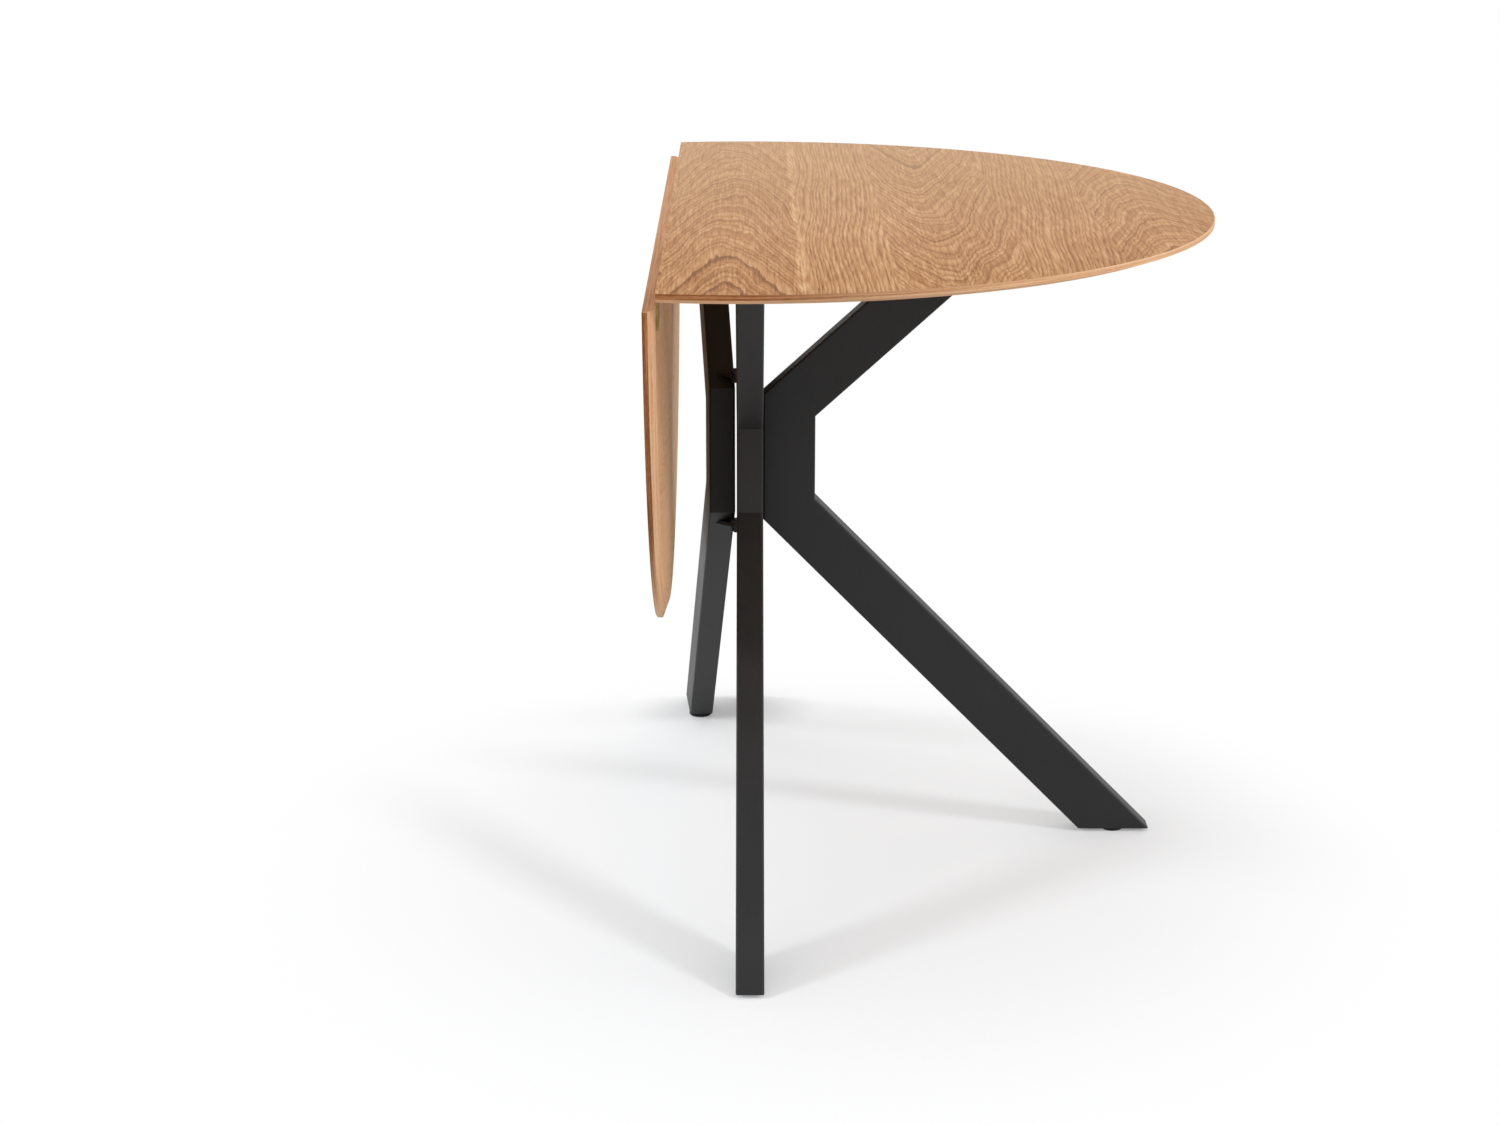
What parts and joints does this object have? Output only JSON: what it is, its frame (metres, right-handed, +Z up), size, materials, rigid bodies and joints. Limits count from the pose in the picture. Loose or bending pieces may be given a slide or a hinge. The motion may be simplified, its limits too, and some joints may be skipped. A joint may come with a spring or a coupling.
{
  "type": "folding dining table",
  "caption": "Round drop-leaf dining table: thin oak top with one hinged leaf, on K-shaped black steel legs, one of which swings out to hold the leaf up.",
  "frame": {"origin": "on the floor, under the middle of the folded table's overall width and depth", "axes": "+Z up; +Y along the fold line, away from the picture's viewer; +X from the hanging leaf towards the round side"},
  "size_m": [0.6202, 1.05, 0.75],
  "materials": {
    "oak": "satin lacquered oak veneer",
    "black_steel": "matt powder coat",
    "brass": "dull plated",
    "zinc_steel": "zinc plated",
    "black_nylon": "moulded nylon"
  },
  "bodies": {
    "table": {"fixed_top": "oak", "centre_post": "black_steel", "front_upper_arm": "black_steel", "front_column": "black_steel", "front_lower_leg": "black_steel", "front_top_plate": "black_steel", "front_foot_plate": "black_steel", "right_upper_arm": "black_steel", "right_column": "black_steel", "right_lower_leg": "black_steel", "right_top_plate": "black_steel", "right_foot_plate": "black_steel", "back_upper_arm": "black_steel", "back_column": "black_steel", "back_lower_leg": "black_steel", "back_top_plate": "black_steel", "back_foot_plate": "black_steel", "foot_nuts": "zinc_steel", "top_plate_screws": "zinc_steel", "upper_pivot_ear": "black_steel", "lower_pivot_ear": "black_steel", "upper_pivot_stud": "black_steel", "lower_pivot_stud": "black_steel", "pivot_washers": "black_steel", "pivot_lock_nuts": "black_steel", "near_hinge_top_plate": "brass", "near_hinge_pin": "brass", "middle_hinge_top_plate": "brass", "middle_hinge_pin": "brass", "far_hinge_top_plate": "brass", "far_hinge_pin": "brass", "hinge_top_screws": "brass"},
    "leaf": {"drop_leaf": "oak", "near_hinge_leaf_plate": "brass", "middle_hinge_leaf_plate": "brass", "far_hinge_leaf_plate": "brass", "hinge_leaf_screws": "brass"},
    "gate_leg": {"gate_upper_arm": "black_steel", "gate_column": "black_steel", "gate_lower_leg": "black_steel", "gate_arm_end_plate": "black_steel", "gate_slide_pad": "black_nylon", "gate_upper_ear": "black_steel", "gate_lower_ear": "black_steel", "gate_foot_plate": "black_steel", "gate_foot_nut": "zinc_steel"},
    "front_glide": {"front_glide_pad": "black_nylon", "front_glide_stem": "zinc_steel"},
    "right_glide": {"right_glide_pad": "black_nylon", "right_glide_stem": "zinc_steel"},
    "back_glide": {"back_glide_pad": "black_nylon", "back_glide_stem": "zinc_steel"},
    "gate_glide": {"gate_glide_pad": "black_nylon", "gate_glide_stem": "zinc_steel"}
  },
  "joints": [
    {"name": "leaf_fold", "type": "hinge", "parent": "table", "child": "leaf", "pos_m": [-0.29495, 0, 0.7349], "axis": [0, 1, 0], "range_deg": [0, 90]},
    {"name": "gate_swing", "type": "hinge", "parent": "table", "child": "gate_leg", "pos_m": [-0.22295, 0.016, 0.4615], "axis": [0, 0, 1], "range_deg": [0, 3]},
    {"name": "front_glide_turn", "type": "hinge", "parent": "table", "child": "front_glide", "pos_m": [-0.20695, -0.43437, 0], "axis": [0, 0, 1], "continuous": true},
    {"name": "right_glide_turn", "type": "hinge", "parent": "table", "child": "right_glide", "pos_m": [0.22742, 0, 0], "axis": [0, 0, 1], "continuous": true},
    {"name": "back_glide_turn", "type": "hinge", "parent": "table", "child": "back_glide", "pos_m": [-0.20695, 0.43437, 0], "axis": [0, 0, 1], "continuous": true},
    {"name": "gate_glide_turn", "type": "hinge", "parent": "gate_leg", "child": "gate_glide", "pos_m": [-0.27308, 0.40546, 0], "axis": [0, 0, 1], "continuous": true}
  ]
}
